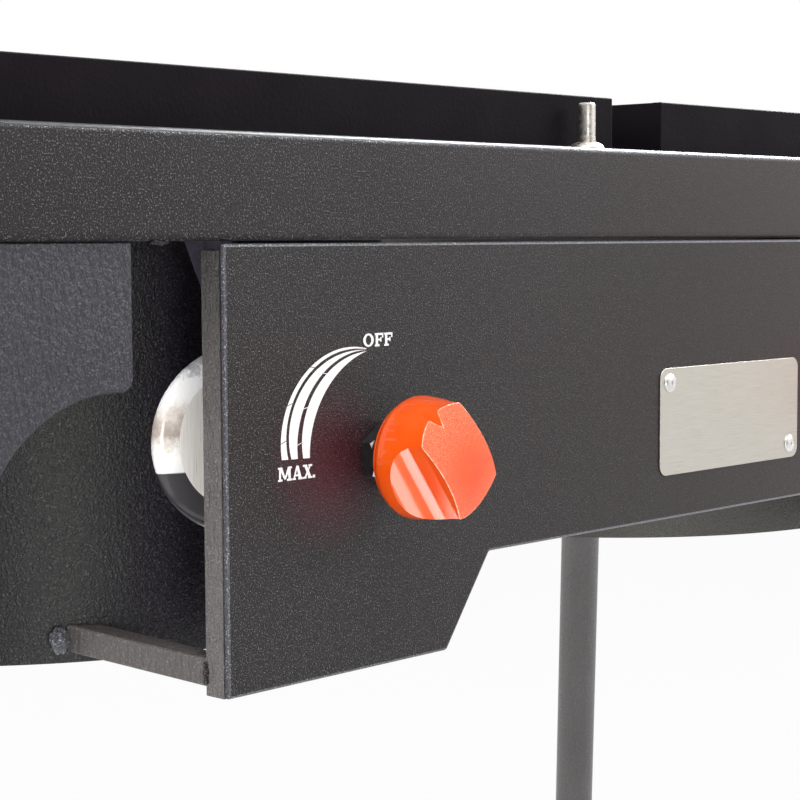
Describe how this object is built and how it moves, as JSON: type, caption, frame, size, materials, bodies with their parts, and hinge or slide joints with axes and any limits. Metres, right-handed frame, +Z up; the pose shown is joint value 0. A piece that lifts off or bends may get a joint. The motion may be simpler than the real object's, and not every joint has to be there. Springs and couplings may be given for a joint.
{
  "type": "propane burner stand",
  "caption": "Outdoor gas stove stand: a tube frame on splayed legs with round windscreens, cast burners, a front panel with turning gas knobs, and lift-off pot grates.",
  "frame": {"origin": "on the floor, under the middle of the feet's bounding box", "axes": "+X along the panel to the gas inlet, +Y from the panel to the back, +Z up"},
  "size_m": [1.0144, 0.5194, 0.713],
  "materials": {
    "powder_coat": "fine-textured semi-gloss black powder coat",
    "screen_paint": "black paint with an orange-peel texture",
    "cast_iron": "dark, sand-cast",
    "black_pipe": "black steel pipe",
    "zinc": "bright zinc plating",
    "brass": "machined",
    "polished_steel": "polished, with fine turning marks",
    "black_nut": "black oxide",
    "knob_plastic": "orange-red; glossy sides, finely grained front",
    "plate_steel": "brushed along its length",
    "white_ink": "screen-printed white ink of the scales beside the knobs",
    "rubber": "matte black"
  },
  "bodies": {
    "frame": {"front_rail": "powder_coat", "rear_rail": "powder_coat", "left_rail": "powder_coat", "right_rail": "powder_coat", "centre_rail": "powder_coat", "corner_bracket_front_left": "powder_coat", "corner_bracket_front_right": "powder_coat", "corner_bracket_rear_left": "powder_coat", "corner_bracket_rear_right": "powder_coat", "leg_socket_front_left": "powder_coat", "leg_socket_front_right": "powder_coat", "leg_socket_rear_left": "powder_coat", "leg_socket_rear_right": "powder_coat", "leg_front_left": "powder_coat", "leg_front_right": "powder_coat", "leg_rear_left": "powder_coat", "leg_rear_right": "powder_coat", "foot_front_left": "rubber", "foot_front_right": "rubber", "foot_rear_left": "rubber", "foot_rear_right": "rubber", "leg_bolts": "zinc", "leg_nuts": "zinc", "windscreen_left": "screen_paint", "windscreen_right": "screen_paint", "screen_hangers": "powder_coat", "burner_bars_left": "powder_coat", "burner_bars_right": "powder_coat", "burner_casting_left": "cast_iron", "burner_casting_right": "cast_iron", "burner_cap_left": "cast_iron", "burner_cap_right": "cast_iron", "burner_bolts": "zinc", "orifice_left": "brass", "orifice_right": "brass", "gas_tube_left": "brass", "gas_tube_right": "brass", "valve_body_left": "brass", "valve_body_right": "brass", "lock_nuts": "black_nut", "control_panel": "powder_coat", "panel_bar_left": "powder_coat", "panel_bar_right": "powder_coat", "panel_braces": "powder_coat", "gas_manifold": "black_pipe", "inlet_fitting": "brass", "nameplate": "plate_steel", "nameplate_rivets": "zinc", "grate_studs": "zinc", "stud_nuts": "zinc"},
    "knob_left": {"knob_left": "knob_plastic", "valve_stem_left": "brass"},
    "knob_right": {"knob_right": "knob_plastic", "valve_stem_right": "brass"},
    "shutter_left": {"air_shutter_left": "polished_steel"},
    "shutter_right": {"air_shutter_right": "polished_steel"},
    "grate_left": {"pot_grate_left": "cast_iron"},
    "grate_right": {"pot_grate_right": "cast_iron"}
  },
  "joints": [
    {"name": "knob_left_turn", "type": "hinge", "parent": "frame", "child": "knob_left", "pos_m": [-0.2045, -0.236, 0.564], "axis": [0, -1, 0], "range_deg": [-36, 54]},
    {"name": "shutter_left_turn", "type": "hinge", "parent": "frame", "child": "shutter_left", "pos_m": [-0.23727, -0.16711, 0.569], "axis": [-0.1028, -0.9947, 0], "range_deg": [0, 60]},
    {"name": "grate_left_lift", "type": "slide", "parent": "frame", "child": "grate_left", "axis": [0, 0, 1], "range_m": [0, 0.15]},
    {"name": "knob_right_turn", "type": "hinge", "parent": "frame", "child": "knob_right", "pos_m": [0.2045, -0.236, 0.564], "axis": [0, -1, 0], "range_deg": [-36, 54]},
    {"name": "shutter_right_turn", "type": "hinge", "parent": "frame", "child": "shutter_right", "pos_m": [0.23727, -0.16711, 0.569], "axis": [0.1028, -0.9947, 0], "range_deg": [0, 60]},
    {"name": "grate_right_lift", "type": "slide", "parent": "frame", "child": "grate_right", "axis": [0, 0, 1], "range_m": [0, 0.15]}
  ]
}
